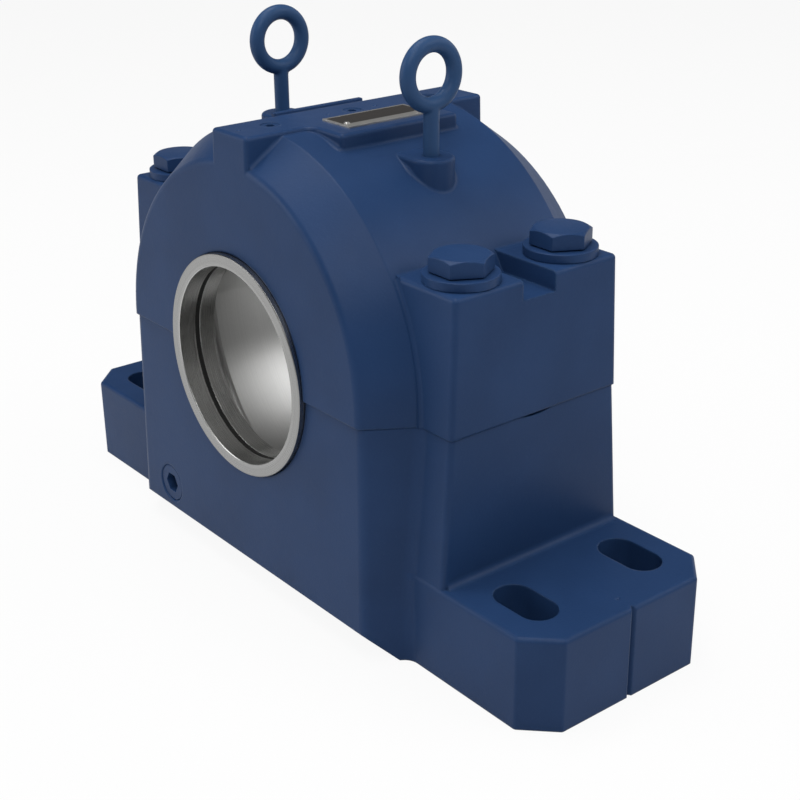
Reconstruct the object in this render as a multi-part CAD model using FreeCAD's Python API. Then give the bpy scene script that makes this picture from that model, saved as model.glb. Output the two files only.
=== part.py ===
import FreeCAD, Part
import math
import os

# Split plummer block housing, empty, with its two labyrinth seal rings.
# All sizes are millimetres. X runs from foot to foot, Y along the shaft, Z up.
# The origin is the middle of the underside, and the front face looks along -Y.

os.makedirs("parts", exist_ok=True)
Vector = FreeCAD.Vector
UP = Vector(0, 0, 1)
SHAFT = Vector(0, 1, 0)

# Base and feet
base_length = 560.0
foot_width = 160.0
foot_height = 66.0
foot_corner = 21.0
axis_height = 168.0
toe_chamfer = 20.0
foot_edge_round = 3.0
foot_root_round = 5.0
foot_crease_drop = 4.0
end_mark_width = 4.0
end_mark_depth = 3.0

# Foundation slots in the feet
slot_inset = 48.0
slot_y = 47.0
slot_width = 27.0
slot_length = 48.0
foot_dimple_inset = 14.0

# Cap: a barrel about the shaft with a cone and a flat face at each end
crown_radius = 160.0
barrel_half = 72.0
face_half = 105.0
face_radius = 138.0
face_lean = 4.5
face_round = 6.0

# The base stands a little inside the cap at the split
face_step = 2.3
flank_step = 0.7
lug_step = 1.0
base_face_spread = 3.8
front_corner_round = 9.0
valley_round = 11.0

# Bolting lugs
lug_reach = 189.0
lug_half = 72.0
lug_height = 90.7
lug_lean_x = 0.9
lug_lean_y = 3.7
lug_spread_x = 1.3
lug_foot_half = 78.6
lug_corner_round = 3.5
lug_top_round = 3.0
notch_width = 27.4
notch_depth = 13.0
pry_slot_width = 30.0
pry_slot_height = 2.4
pry_slot_depth = 10.0

# Beam along the crown, with a ledge for the nameplate and a thin rib on the other side
beam_width = 41.0
beam_rise = 1.5
beam_round = 2.8
beam_end_round = 0.5
ledge_reach = 54.0
ledge_half = 49.0
ledge_corner_round = 3.0
ledge_root_round = 8.0
rib_x = -40.0
rib_width = 4.0
rib_length = 76.0
rib_drop = 3.2
rib_round = 0.8

# Bearing chamber
seat_radius = 135.0
seat_half = 38.0
seat_chamfer = 1.5
chamber_radius = 139.0
end_wall = 29.0
drain_channel_radius = 8.0
drain_turn_inset = 10.0

# Labyrinth seal ring in each end wall
seal_bore_radius = 70.0
seal_body_radius = 76.0
seal_fin_radius = 85.0
seal_fin_width = 4.0
seal_fin_insets = (13.0, 22.0)
seal_collar_radius = 79.0
seal_collar_width = 5.2
seal_collar_proud = 2.5
seal_inner_inset = 27.0
seal_face_chamfer = 0.5
seal_bore_gap = 0.5
seal_fin_gap = 0.7
seal_side_gap = 1.0
seal_mouth_gap = 0.5

# Cord in the bore of each seal ring
cord_width = 3.7
cord_depth = 3.6
cord_inset = 12.9
cord_gap = 0.1

# Cap bolts and washers
bolt_inset = 26.0
bolt_y = 42.0
bolt_diameter = 24.0
bolt_length = 140.0
bolt_head_flats = 36.0
bolt_head_height = 11.6
bolt_crown_height = 2.0
bolt_crown_radius = 17.4
bolt_seat_diameter = 33.0
bolt_seat_height = 0.8
bolt_hole_gap = 1.0
bolt_tip_room = 8.0
bolt_tip_chamfer = 2.0
thread_gap = 0.1
washer_diameter = 48.6
washer_thickness = 6.0
washer_hole_gap = 0.5
washer_chamfer = 1.0

# Dowel pins across the split
dowel_diameter = 12.0
dowel_length = 40.0
dowel_chamfer = 1.0
dowel_gap = 0.05

# Eye bolts and their bosses
eye_x = 84.5
eye_rise = 198.0
eye_radius = 19.2
eye_wire = 10.7
eye_thread = 24.0
boss_radius = 15.5
boss_rise = 146.0
boss_round = 2.5

# Plugs in the beam
plug_diameter = 13.0
plug_length = 10.0
plug_socket_flats = 6.0
plug_socket_depth = 5.0
plug_pitch = 67.5
plug_sink = 0.4
plug_channel = 6.0
dimple_width = 3.2
dimple_depth = 1.4
beam_dimples = (20.0, 92.0)

# Drain plug in the front face
drain_x = -102.0
drain_height = 39.0
drain_diameter = 29.0
drain_length = 22.0
drain_socket_flats = 14.0
drain_socket_depth = 9.0
drain_sink = 0.6
drain_rim = 0.7

# Nameplate on the beam and its ledge
plate_length = 69.0
plate_width = 30.0
plate_thickness = 1.2
plate_middle_x = 28.0
rivet_pitch = 60.0
rivet_shift = 6.0
rivet_diameter = 2.4
rivet_head_diameter = 4.4
rivet_head_height = 0.9
rivet_head_chamfer = 0.6
rivet_length = 7.0
rivet_gap = 0.05

# Sizes that follow from the ones above
half_length = base_length / 2
foot_half = foot_width / 2
crown_height = axis_height + crown_radius
beam_top = crown_height + beam_rise
lug_top = axis_height + lug_height
cone_slope = (crown_radius - face_radius) / (face_half - barrel_half)
chamber_half = face_half - end_wall
drain_passage = chamber_half - drain_turn_inset
slot_x = half_length - slot_inset
bolt_x = lug_reach - bolt_inset
eye_height = axis_height + eye_rise
boss_height = axis_height + boss_rise
seal_outer_face = face_half + seal_collar_proud
seal_inner_face = face_half - seal_inner_inset
seal_fin_places = [face_half - inset for inset in seal_fin_insets]
cord_middle = face_half - cord_inset
base_face_half = face_half - face_step
base_face_corner = face_radius + face_step * cone_slope - flank_step
margin = 1.0


def box(x0, x1, y0, y1, z0, z1):
    return Part.makeBox(x1 - x0, y1 - y0, z1 - z0, Vector(x0, y0, z0))


def rod(radius, x, y, z0, z1):
    return Part.makeCylinder(radius, z1 - z0, Vector(x, y, z0), UP)


def rounded_wire(corners, z):
    """Closed outline at height z through corners (x, y, radius), each corner an arc."""
    edges = []
    ends = []
    count = len(corners)
    for index in range(count):
        x, y, radius = corners[index]
        here = Vector(x, y, z)
        before = Vector(corners[index - 1][0], corners[index - 1][1], z)
        after = Vector(corners[(index + 1) % count][0], corners[(index + 1) % count][1], z)
        into = (before - here).normalize()
        away = (after - here).normalize()
        half_angle = into.getAngle(away) / 2
        reach = radius / math.tan(half_angle)
        middle = (into + away).normalize()
        nearest = radius / math.sin(half_angle) - radius
        ends.append((here + into * reach, here + middle * nearest, here + away * reach))
    for index in range(count):
        start, mid, end = ends[index]
        edges.append(Part.Arc(start, mid, end).toShape())
        edges.append(Part.LineSegment(end, ends[(index + 1) % count][0]).toShape())
    return Part.Wire(edges)


def mirrored_corners(quarter):
    """Four-fold outline from the corners (x, y, radius) of the front right quarter."""
    right_rear = [(x, -y, radius) for x, y, radius in reversed(quarter)]
    left_rear = [(-x, -y, radius) for x, y, radius in quarter]
    left_front = [(-x, y, radius) for x, y, radius in reversed(quarter)]
    return quarter + right_rear + left_rear + left_front


def drafted(lower, lower_z, upper, upper_z):
    """Solid between two outlines with the same corners at two heights."""
    wires = [rounded_wire(lower, lower_z), rounded_wire(upper, upper_z)]
    return Part.makeLoft(wires, True, True)


def turned(profile):
    """Solid of revolution about the shaft from (y, radius) points."""
    points = [Vector(0, y, axis_height + radius) for y, radius in profile]
    face = Part.Face(Part.makePolygon(points + [points[0]]))
    return face.revolve(Vector(0, 0, axis_height), SHAFT, 360)


def hexagon(flats, x, y, z, height):
    """Upright hexagonal prism with two corners on the X axis."""
    corner = flats / math.sqrt(3)
    points = []
    for index in range(6):
        angle = math.radians(60 * index)
        points.append(Vector(x + corner * math.cos(angle), y + corner * math.sin(angle), z))
    face = Part.Face(Part.makePolygon(points + [points[0]]))
    return face.extrude(Vector(0, 0, height))


def fused(shapes):
    whole = shapes[0].fuse(shapes[1:])
    return whole.removeSplitter()


def drilled_mark(x, y, z):
    """Small conical mark that shows where another hole may be drilled."""
    return Part.makeCone(0, dimple_width / 2, dimple_depth, Vector(x, y, z - dimple_depth), UP)


def bolt_places():
    """Name and place of each cap bolt."""
    places = []
    for side, x in (("right", bolt_x), ("left", -bolt_x)):
        for end, y in (("front", -bolt_y), ("rear", bolt_y)):
            places.append((end + "_" + side, x, y))
    return places


def base_face_at(z):
    """Half depth of the base's flat face at height z."""
    return base_face_half + base_face_spread * (axis_height - z) / axis_height


def base_corner_at(z):
    """Half width of the base's flat face at height z."""
    return base_face_corner + (base_face_at(z) - base_face_half) * cone_slope


def base_outline(z, lug_end, lug_side):
    """Corners of the base at height z, from the front face round to the lug end."""
    face = base_face_at(z)
    corner = base_corner_at(z)
    valley = corner + (face - lug_side) * cone_slope
    return mirrored_corners([
        (corner, -face, front_corner_round),
        (valley, -lug_side, valley_round),
        (lug_end, -lug_side, lug_corner_round),
    ])


def base_column():
    """Body of the base in three steps: between the feet, a crease, and the leaning lug sides."""
    foot_end = lug_reach - lug_step + lug_spread_x
    levels = [
        (0, foot_end, foot_half),
        (foot_height - foot_crease_drop, foot_end, foot_half),
        (foot_height, foot_end, lug_foot_half),
        (axis_height, lug_reach - lug_step, lug_half - lug_step),
    ]
    wires = [rounded_wire(base_outline(z, end, side), z) for z, end, side in levels]
    return Part.makeLoft(wires, True, True)


def foot_plate():
    """Plate under the whole length, with cut corners and rounded top edges."""
    corners = mirrored_corners([
        (half_length - foot_corner, -foot_half, foot_edge_round),
        (half_length, -foot_half + foot_corner, foot_edge_round),
    ])
    plate = Part.Face(rounded_wire(corners, 0)).extrude(Vector(0, 0, foot_height))
    top_edges = [edge for edge in plate.Edges if edge.BoundBox.ZMin > foot_height - margin]
    return plate.makeFillet(foot_edge_round, top_edges)


def foot_roots():
    """Concave rounding where each lug column stands on its foot."""
    root_x = lug_reach - lug_step + lug_spread_x
    radius = foot_root_round
    half = lug_foot_half - lug_corner_round
    low = foot_height - radius
    high = foot_height + radius
    block = box(root_x - radius, root_x + radius, -half, half, low, high)
    hollow = Part.makeCylinder(radius, 2 * half, Vector(root_x + radius, -half, high), SHAFT)
    past = box(root_x + radius - margin, root_x + 2 * radius, -half, half, foot_height, high + margin)
    root = block.cut([hollow, past])
    return [root, root.mirror(Vector(0, 0, 0), Vector(1, 0, 0))]


def toe_cuts():
    """Wedges taken off the lower front and rear edges between the feet."""
    face = base_face_at(0)
    width = lug_reach
    wedges = []
    for side in (-1, 1):
        points = [
            Vector(-width, side * (face - toe_chamfer), -margin),
            Vector(-width, side * (face - toe_chamfer), 0),
            Vector(-width, side * (face + margin), toe_chamfer + margin),
            Vector(-width, side * (face + margin), -margin),
        ]
        end = Part.Face(Part.makePolygon(points + [points[0]]))
        wedges.append(end.extrude(Vector(2 * width, 0, 0)))
    return wedges


def end_marks():
    """Centre line cut down each foot end."""
    marks = []
    for side in (-1, 1):
        tip = side * (half_length - end_mark_depth)
        out = side * (half_length + margin)
        half = end_mark_width / 2 * (end_mark_depth + margin) / end_mark_depth
        points = [Vector(tip, 0, -margin), Vector(out, -half, -margin), Vector(out, half, -margin)]
        face = Part.Face(Part.makePolygon(points + [points[0]]))
        marks.append(face.extrude(Vector(0, 0, foot_height + 2 * margin)))
    return marks


def foundation_slots():
    """Four long holes through the feet."""
    slots = []
    radius = slot_width / 2
    reach = slot_length / 2 - radius
    for x in (-slot_x, slot_x):
        for y in (-slot_y, slot_y):
            middle = box(x - reach, x + reach, y - radius, y + radius, -margin, foot_height + margin)
            ends = [rod(radius, x + shift, y, -margin, foot_height + margin) for shift in (-reach, reach)]
            slots.append(fused([middle] + ends))
    return slots


def shaft_space():
    """Space inside both halves: bearing seat, chamber, seal grooves and the mouths."""
    bore = seal_body_radius + seal_bore_gap
    groove = seal_fin_radius + seal_fin_gap
    mouth = seal_collar_radius + seal_mouth_gap
    mouth_floor = seal_outer_face - seal_collar_width - seal_side_gap
    outside = seal_outer_face + margin
    side = [
        (seat_half - seat_chamfer, seat_radius),
        (seat_half, seat_radius + seat_chamfer),
        (seat_half, chamber_radius),
        (chamber_half, chamber_radius),
        (chamber_half, bore),
    ]
    for place in reversed(seal_fin_places):
        inner = place - seal_side_gap
        outer = place + seal_fin_width + seal_side_gap
        side += [(inner, bore), (inner, groove), (outer, groove), (outer, bore)]
    side += [
        (mouth_floor, bore),
        (mouth_floor, mouth),
        (outside, mouth),
        (outside, 0),
    ]
    front = [(-y, radius) for y, radius in reversed(side)]
    return turned(front + side)


def pry_slots():
    """Shallow round-bottomed slot at each end of the split, to lever the cap off."""
    slots = []
    sag = pry_slot_height
    radius = (pry_slot_width ** 2 / 4 + sag ** 2) / (2 * sag)
    for side in (-1, 1):
        start = Vector(side * (lug_reach - lug_step - pry_slot_depth), 0, axis_height - sag + radius)
        along = Vector(side, 0, 0)
        cutter = Part.makeCylinder(radius, pry_slot_depth + lug_step + margin, start, along)
        slots.append(cutter)
    return slots


def bolt_holes(radius, z0, z1):
    return [rod(radius, x, y, z0, z1) for name, x, y in bolt_places()]


def dowel_holes():
    radius = dowel_diameter / 2 + dowel_gap
    half = dowel_length / 2 + dowel_chamfer
    return [rod(radius, x, 0, axis_height - half, axis_height + half) for x in (-bolt_x, bolt_x)]


def drain_spaces():
    """Tapped hole for the drain plug and the channel from it up into the chamber."""
    face = base_face_at(drain_height)
    radius = drain_diameter / 2 + thread_gap
    start = Vector(drain_x, -face - margin, drain_height)
    tapped = Part.makeCylinder(radius, drain_length + drain_sink + 2 * margin, start, SHAFT)
    rim = Part.makeCone(radius + drain_rim + margin, radius, drain_rim + margin, start, SHAFT)
    mouth = Vector(drain_x, -face, drain_height)
    deep = Part.makeCylinder(drain_channel_radius, face - drain_passage, mouth, SHAFT)
    elbow = Vector(drain_x, -drain_passage, drain_height)
    to_axis = Vector(-drain_x, 0, axis_height - drain_height)
    rise = to_axis.Length - chamber_radius + 2 * drain_channel_radius
    channel = Part.makeCylinder(drain_channel_radius, rise, elbow, to_axis)
    knee = Part.makeSphere(drain_channel_radius, elbow)
    return [tapped, rim, deep, channel, knee]


def make_base():
    solid = fused([base_column(), foot_plate()] + foot_roots())
    tip = lug_top + washer_thickness - bolt_length - bolt_tip_room
    tools = [shaft_space()] + toe_cuts() + end_marks() + foundation_slots() + pry_slots()
    tools += bolt_holes(bolt_diameter / 2 + thread_gap, tip, axis_height + margin)
    tools += dowel_holes() + drain_spaces()
    dimple_x = half_length - foot_dimple_inset
    tools += [drilled_mark(x, 0, foot_height) for x in (-dimple_x, dimple_x)]
    return solid.cut(tools)


def cap_envelope():
    """Slab between the two leaning faces, from the split up past the beam."""
    width = base_length
    height = beam_top - axis_height + margin
    lean = face_lean * height / crown_radius
    lower = [(width, -face_half), (width, face_half), (-width, face_half), (-width, -face_half)]
    upper_half = face_half - lean
    upper = [(width, -upper_half), (width, upper_half), (-width, upper_half), (-width, -upper_half)]
    wires = []
    for outline, z in ((lower, axis_height), (upper, axis_height + height)):
        points = [Vector(x, y, z) for x, y in outline]
        wires.append(Part.makePolygon(points + [points[0]]))
    return Part.makeLoft(wires, True, True)


def cap_barrel(envelope):
    """Half barrel with coned ends, and a rounded edge round each flat face."""
    past = face_half + margin
    past_radius = crown_radius - (past - barrel_half) * cone_slope
    barrel = turned([
        (-past, 0),
        (-past, past_radius),
        (-barrel_half, crown_radius),
        (barrel_half, crown_radius),
        (past, past_radius),
        (past, 0),
    ])
    barrel = barrel.common(envelope)
    rims = []
    for edge in barrel.Edges:
        on_face = abs(edge.CenterOfMass.y) > face_half - face_lean - margin
        if on_face and edge.BoundBox.ZMax > axis_height + margin:
            rims.append(edge)
    return barrel.makeFillet(face_round, rims)


def cap_beam(envelope):
    """Beam along the crown with its ledge, and rounded edges where they show."""
    half = beam_width / 2
    long = face_half + margin
    low = axis_height + seat_radius
    outline = rounded_wire([
        (half, -long, beam_end_round),
        (half, -ledge_half, ledge_root_round),
        (ledge_reach, -ledge_half, ledge_corner_round),
        (ledge_reach, ledge_half, ledge_corner_round),
        (half, ledge_half, ledge_root_round),
        (half, long, beam_end_round),
        (-half, long, beam_end_round),
        (-half, -long, beam_end_round),
    ], low)
    beam = Part.Face(outline).extrude(Vector(0, 0, beam_top - low)).common(envelope)
    edges = []
    for edge in beam.Edges:
        reach = edge.BoundBox
        on_top = reach.ZMin > beam_top - margin
        at_end = abs(edge.CenterOfMass.y) > face_half - face_lean - margin
        if on_top or (at_end and reach.ZMax > beam_top - margin):
            edges.append(edge)
    return beam.makeFillet(beam_round, edges)


def cap_rib():
    """Thin upright rib beside the beam, on the side without the nameplate."""
    half = rib_width / 2
    low = axis_height + seat_radius
    top = beam_top - rib_drop
    rib = box(rib_x - half, rib_x + half, -rib_length / 2, rib_length / 2, low, top)
    edges = [edge for edge in rib.Edges if edge.BoundBox.ZMin > top - rib_round]
    return rib.makeFillet(rib_round, edges)


def cap_bosses():
    """Upright boss for each eye bolt, running straight back into the barrel."""
    bosses = []
    low = axis_height + math.sqrt(seat_radius ** 2 - eye_x ** 2)
    for side in (-1, 1):
        round_end = rod(boss_radius, side * eye_x, 0, low, boss_height)
        inner, outer = sorted((side * (eye_x - 2 * boss_radius), side * eye_x))
        straight = box(inner, outer, -boss_radius, boss_radius, low, boss_height)
        boss = fused([round_end, straight])
        edges = [edge for edge in boss.Edges if edge.BoundBox.ZMin > boss_height - margin]
        rim = [edge for edge in edges if abs(edge.CenterOfMass.x) > eye_x - 2 * boss_radius + margin]
        bosses.append(boss.makeFillet(boss_round, rim))
    return bosses


def cap_lugs():
    """Block on each side for two cap bolts, with a notch between the bolts."""
    lower = mirrored_corners([(lug_reach, -lug_half, lug_corner_round)])
    upper = mirrored_corners([(lug_reach - lug_lean_x, -lug_half + lug_lean_y, lug_corner_round)])
    bar = drafted(lower, axis_height, upper, lug_top)
    top_edges = [edge for edge in bar.Edges if edge.BoundBox.ZMin > lug_top - margin]
    bar = bar.makeFillet(lug_top_round, top_edges)
    half = notch_width / 2
    end = lug_reach + margin
    notch = box(-end, end, -half, half, lug_top - notch_depth, lug_top + margin)
    return bar.cut(notch)


def plug_channels():
    """Holes under the beam plugs, down into the bearing chamber."""
    tools = []
    depth = plug_length + plug_sink
    for y in (-plug_pitch, 0, plug_pitch):
        tools.append(rod(plug_diameter / 2 + thread_gap, 0, y, beam_top - depth, beam_top + margin))
        tools.append(rod(plug_channel / 2, 0, y, axis_height, beam_top))
    return tools


def rivet_places():
    x = plate_middle_x + rivet_shift
    return (("front", x, -rivet_pitch / 2), ("rear", x, rivet_pitch / 2))


def make_cap():
    envelope = cap_envelope()
    pieces = [cap_barrel(envelope), cap_beam(envelope), cap_lugs()]
    pieces += [cap_rib()] + cap_bosses()
    solid = fused(pieces)
    tools = [shaft_space()]
    tools += bolt_holes(bolt_diameter / 2 + bolt_hole_gap, axis_height - margin, lug_top + margin)
    tools += dowel_holes() + plug_channels()
    eye_hole = boss_height - eye_thread - bolt_tip_chamfer
    for x in (-eye_x, eye_x):
        tools.append(rod(eye_wire / 2 + thread_gap, x, 0, eye_hole, boss_height + margin))
    for name, x, y in rivet_places():
        depth = rivet_length - plate_thickness + dimple_depth
        tools.append(rod(rivet_diameter / 2 + rivet_gap, x, y, beam_top - depth, beam_top + margin))
    for y in beam_dimples:
        tools += [drilled_mark(0, -y, beam_top), drilled_mark(0, y, beam_top)]
    return solid.cut(tools)


def make_cap_bolt(x, y):
    """Hexagon head bolt: washer face under the head, crown chamfered by a cone, tip cut back."""
    seat = lug_top + washer_thickness
    corner = bolt_head_flats / math.sqrt(3)
    under = seat + bolt_seat_height
    shoulder = seat + bolt_head_height - bolt_crown_height
    head = hexagon(bolt_head_flats, x, y, under, bolt_head_height - bolt_seat_height)
    crown = Part.makeCone(corner, bolt_crown_radius, bolt_crown_height, Vector(x, y, shoulder), UP)
    below = rod(corner, x, y, under, shoulder)
    head = head.common(below.fuse(crown))
    washer_face = rod(bolt_seat_diameter / 2, x, y, seat, under)
    tip = seat - bolt_length
    shank = rod(bolt_diameter / 2, x, y, tip, seat)
    tip_edges = [edge for edge in shank.Edges if edge.BoundBox.ZMax < tip + margin]
    shank = shank.makeChamfer(bolt_tip_chamfer, tip_edges)
    return fused([head, washer_face, shank])


def make_washer(x, y):
    ring = rod(washer_diameter / 2, x, y, lug_top, lug_top + washer_thickness)
    rims = [edge for edge in ring.Edges if edge.BoundBox.ZLength < margin]
    ring = ring.makeChamfer(washer_chamfer, rims)
    hole = bolt_diameter / 2 + washer_hole_gap
    return ring.cut(rod(hole, x, y, lug_top - margin, lug_top + washer_thickness + margin))


def make_dowel(x):
    half = dowel_length / 2
    pin = rod(dowel_diameter / 2, x, 0, axis_height - half, axis_height + half)
    rims = [edge for edge in pin.Edges if abs(edge.CenterOfMass.z - axis_height) > half - margin]
    return pin.makeChamfer(dowel_chamfer, rims)


def make_eye_bolt(x):
    """Ring across the housing on a plain shank that screws into its boss."""
    ring = Part.makeTorus(eye_radius, eye_wire / 2, Vector(x, 0, eye_height), Vector(1, 0, 0))
    shank = rod(eye_wire / 2, x, 0, boss_height - eye_thread, eye_height - eye_radius)
    return fused([ring, shank])


def make_drain_plug():
    """Flush plug with a hexagon socket, lying along the shaft direction."""
    face = base_face_at(drain_height) - drain_sink
    start = Vector(drain_x, -face, drain_height)
    plug = Part.makeCylinder(drain_diameter / 2, drain_length, start, SHAFT)
    rim = [edge for edge in plug.Edges if edge.BoundBox.YMax < -face + margin]
    plug = plug.makeChamfer(drain_rim, rim)
    socket = hexagon(drain_socket_flats, 0, 0, -margin, drain_socket_depth + margin)
    socket.rotate(Vector(0, 0, 0), Vector(1, 0, 0), -90)
    socket.translate(start)
    return plug.cut(socket)


def make_top_plug(y):
    top = beam_top - plug_sink
    plug = rod(plug_diameter / 2, 0, y, top - plug_length, top)
    socket = hexagon(plug_socket_flats, 0, y, top - plug_socket_depth, plug_socket_depth + margin)
    return plug.cut(socket)


def make_nameplate():
    half_width = plate_width / 2
    half_long = plate_length / 2
    x0 = plate_middle_x - half_width
    plate = box(x0, x0 + plate_width, -half_long, half_long, beam_top, beam_top + plate_thickness)
    holes = []
    for name, x, y in rivet_places():
        holes.append(rod(rivet_diameter / 2 + rivet_gap, x, y, beam_top - margin, beam_top + 2 * margin))
    return plate.cut(holes)


def make_rivet(x, y):
    seat = beam_top + plate_thickness
    shank = rod(rivet_diameter / 2, x, y, seat - rivet_length, seat)
    head = rod(rivet_head_diameter / 2, x, y, seat, seat + rivet_head_height)
    rims = [edge for edge in head.Edges if edge.BoundBox.ZMin > seat + rivet_head_height - rivet_gap]
    head = head.makeChamfer(rivet_head_chamfer, rims)
    return fused([shank, head])


def cord_groove():
    """Ring-shaped groove in the bore of the front seal ring: y from and to, and floor radius."""
    return -cord_middle - cord_width / 2, -cord_middle + cord_width / 2, seal_bore_radius + cord_depth


def make_seal_ring():
    """Front labyrinth ring: bore with a cord groove, two fins, and a collar outside."""
    groove_out, groove_in, groove_floor = cord_groove()
    chamfer = seal_face_chamfer
    collar_back = -seal_outer_face + seal_collar_width
    profile = [
        (-seal_outer_face, seal_bore_radius + chamfer),
        (-seal_outer_face, seal_collar_radius - chamfer),
        (-seal_outer_face + chamfer, seal_collar_radius),
        (collar_back, seal_collar_radius),
        (collar_back, seal_body_radius),
    ]
    for place in seal_fin_places:
        outer = -place - seal_fin_width
        profile += [
            (outer, seal_body_radius),
            (outer, seal_fin_radius),
            (-place, seal_fin_radius),
            (-place, seal_body_radius),
        ]
    profile += [
        (-seal_inner_face, seal_body_radius),
        (-seal_inner_face, seal_bore_radius),
        (groove_in, seal_bore_radius),
        (groove_in, groove_floor),
        (groove_out, groove_floor),
        (groove_out, seal_bore_radius),
        (-seal_outer_face + chamfer, seal_bore_radius),
    ]
    return turned(profile)


def make_seal_cord():
    """Cord of the front seal ring, lying just below its bore."""
    groove_out, groove_in, groove_floor = cord_groove()
    return turned([
        (groove_out, seal_bore_radius + cord_gap),
        (groove_out, groove_floor),
        (groove_in, groove_floor),
        (groove_in, seal_bore_radius + cord_gap),
    ])


def rear(shape):
    return shape.mirror(Vector(0, 0, 0), SHAFT)


def save(name, shape):
    solids = shape.Solids
    whole = solids[0] if len(solids) == 1 else Part.makeCompound(solids)
    whole.exportStep("parts/" + name + ".step")
    print(name, len(solids), "solid", round(whole.Volume / 1000, 2), "cm3", whole.isValid())


def main():
    save("housing_base", make_base())
    save("housing_cap", make_cap())
    for name, x, y in bolt_places():
        save("cap_bolt_" + name, make_cap_bolt(x, y))
        save("washer_" + name, make_washer(x, y))
    for side, x in (("right", 1), ("left", -1)):
        save("dowel_pin_" + side, make_dowel(x * bolt_x))
        save("eye_bolt_" + side, make_eye_bolt(x * eye_x))
    save("drain_plug", make_drain_plug())
    for name, y in (("front", -plug_pitch), ("middle", 0), ("rear", plug_pitch)):
        save("top_plug_" + name, make_top_plug(y))
    save("nameplate", make_nameplate())
    for name, x, y in rivet_places():
        save("nameplate_rivet_" + name, make_rivet(x, y))
    ring = make_seal_ring()
    cord = make_seal_cord()
    save("seal_ring_front", ring)
    save("seal_ring_rear", rear(ring))
    save("seal_cord_front", cord)
    save("seal_cord_rear", rear(cord))


main()
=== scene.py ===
"""Looks of an empty split plummer block housing with its two labyrinth seal rings.

Lengths are metres. X runs from foot to foot, Y along the shaft, Z up, and the
front of the housing looks along -Y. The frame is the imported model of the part.
"""

import math

import bmesh
import bpy
from bpy.props import FloatProperty, FloatVectorProperty, PointerProperty
from mathutils import Matrix, Vector


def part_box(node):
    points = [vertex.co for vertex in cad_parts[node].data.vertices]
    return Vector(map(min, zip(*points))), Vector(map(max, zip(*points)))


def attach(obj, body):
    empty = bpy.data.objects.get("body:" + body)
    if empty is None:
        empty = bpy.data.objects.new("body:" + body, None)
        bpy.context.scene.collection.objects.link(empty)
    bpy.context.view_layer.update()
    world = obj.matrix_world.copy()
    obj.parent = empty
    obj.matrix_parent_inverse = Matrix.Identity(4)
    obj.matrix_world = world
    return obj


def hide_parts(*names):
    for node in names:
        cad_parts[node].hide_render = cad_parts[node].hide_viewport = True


bl_info = {
    "name": "Split plummer block housing",
    "version": (1, 0, 0),
    "blender": (4, 5, 0),
    "location": "3D View > Sidebar > Plummer block",
    "description": "Finishes and cast details of a split plummer block housing",
    "category": "Object",
}

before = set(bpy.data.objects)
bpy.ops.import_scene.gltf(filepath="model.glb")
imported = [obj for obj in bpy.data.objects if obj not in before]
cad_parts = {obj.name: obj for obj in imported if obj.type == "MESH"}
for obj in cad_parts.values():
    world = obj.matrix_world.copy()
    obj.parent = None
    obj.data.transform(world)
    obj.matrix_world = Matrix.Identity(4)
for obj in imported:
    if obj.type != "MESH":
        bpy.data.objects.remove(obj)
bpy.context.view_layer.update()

SHAFT_HEIGHT = sum(corner[2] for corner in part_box("seal_ring_front")) / 2
LUG_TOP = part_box("washer_front_right")[0][2]
WASHER_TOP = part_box("washer_front_right")[1][2]
BOLT_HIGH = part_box("cap_bolt_front_right")[1][2]
BOLT_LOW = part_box("cap_bolt_front_right")[0][2]
BOLT_X = sum(corner[0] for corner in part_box("washer_front_right")) / 2
BOLT_Y = sum(corner[1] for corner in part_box("washer_rear_right")) / 2
PLATE_LOW, PLATE_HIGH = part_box("nameplate")
PLATE_MIDDLE = [(low + high) / 2 for low, high in zip(PLATE_LOW, PLATE_HIGH)]

# Outside of the cap, as the model has it
CROWN_RADIUS = 0.160
BARREL_HALF = 0.072
CONE_SLOPE = 22.0 / 33.0
BEAM_HALF = 0.0205
BEAM_TOP = PLATE_LOW[2]
BEAM_ROUND = 0.0028
LEDGE_REACH = 0.054
LEDGE_HALF = 0.049
LEDGE_ROOT = 0.008
LEDGE_CORNER = 0.003
RIB_X = -0.040
RIB_HALF = 0.002
RIB_LONG = 0.038
EYE_X = 0.0845
BOSS_RADIUS = 0.0155
BOSS_TOP = 0.314
LUG_SIDE = 0.072
LUG_LEAN = 0.0037
NOTCH_HALF = 0.0137
NOTCH_DEPTH = 0.013
BEAM_END = 0.0985
BOSS_ROUND = 0.0025

# How deep the back of a fillet lies inside the casting
BURIED = 0.0005

# Smallest fillet by a low wall, its growth with the wall's height, and where a lug's fillet ends
FILLET_LEAST = 0.001
FILLET_SHARE = 0.45
LUG_FILLET_END = 0.001

# Bolts: chamfer of the shank's tip, and how many steps go round a bolt and a washer
TIP_CHAMFER = 0.002
BOLT_STEPS = 96
WASHER_STEPS = 72

# Bare turned iron: the chamber's radius and half its width, and how far up the underside reaches
CHAMBER_RADIUS = 0.1402
CHAMBER_HALF = 0.0765
UNDERSIDE = 0.0002
IRON_DARK = (0.54, 0.54, 0.535)
IRON_LIGHT = (0.64, 0.64, 0.63)
IRON_ROUGHNESS = 0.36
IRON_LINE_DEPTH = 0.000004

# Paint: shares of the light colour on grain tops, and of the painted highlight on edges
FLECK_SHARE = 0.2
EDGE_HIGHLIGHT_SHARE = 0.85

# Rounding that the edges of small pieces show
PAINTED_EDGE = 0.0005
FINE_EDGE = 0.0004
SHARP_EDGE = 0.0003

# Forged eye bolts: size of the skin's cells, and how often and how strongly it is smoothed
EYE_CELL = 0.0007
EYE_PASSES = 14
EYE_FLOW = 0.5
# Share of the lighter paint colour laid all over the eye bolts, a painted sheen
EYE_PAINTED_SHEEN = 0.6

# Camera
CAMERA_PLACE = (0.80663, -0.60316, 0.55338)
CAMERA_TURN = math.radians(51.4716)
CAMERA_LIFT = math.radians(23.6521)
CAMERA_ROLL = math.radians(-0.6425)
SENSOR_WIDTH = 36.0

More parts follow.
